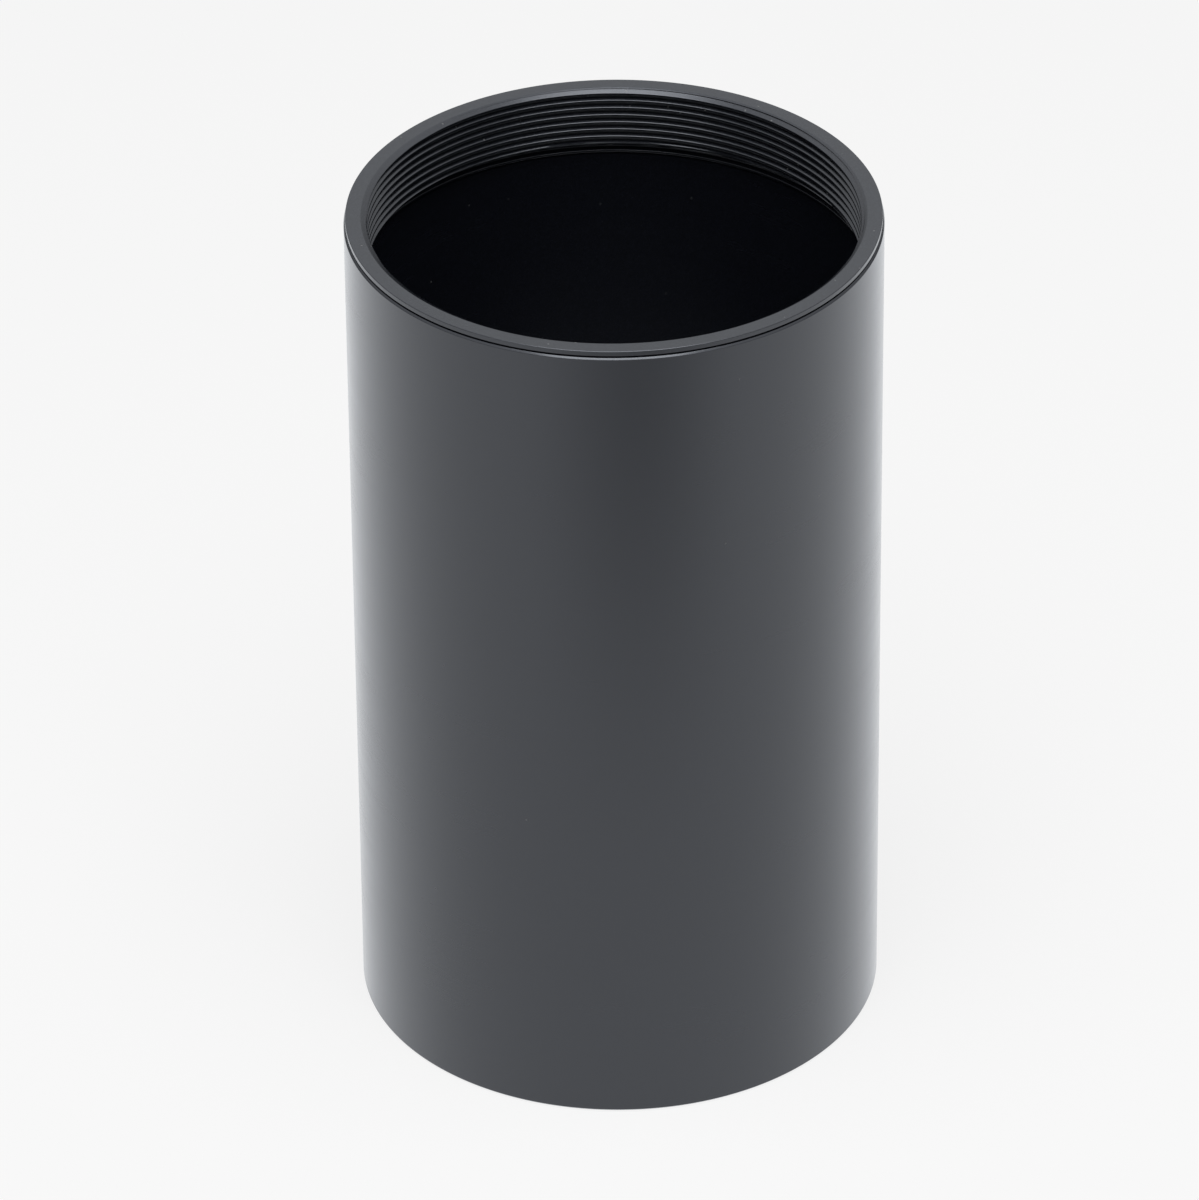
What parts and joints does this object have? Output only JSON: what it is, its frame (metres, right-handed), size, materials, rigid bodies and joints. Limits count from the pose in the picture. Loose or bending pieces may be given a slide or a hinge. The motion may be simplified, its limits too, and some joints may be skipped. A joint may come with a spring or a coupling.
{
  "type": "lens tube",
  "caption": "Round black anodised lens tube, open at both ends, with a finely threaded adapter ring screwed into its upper end and a plain bore below it.",
  "frame": {"origin": "centre of the lower end face, on the tube's axis", "axes": "+Z along the tube's axis, from the lower end that it stands on to the threaded end. +X and +Y lie in the lower end face."},
  "size_m": [0.0483, 0.0482, 0.0815],
  "materials": {
    "anodised": "black anodised, satin, finely turned"
  },
  "bodies": {
    "root": {"tube": "anodised", "adapter_ring": "anodised"}
  },
  "joints": []
}
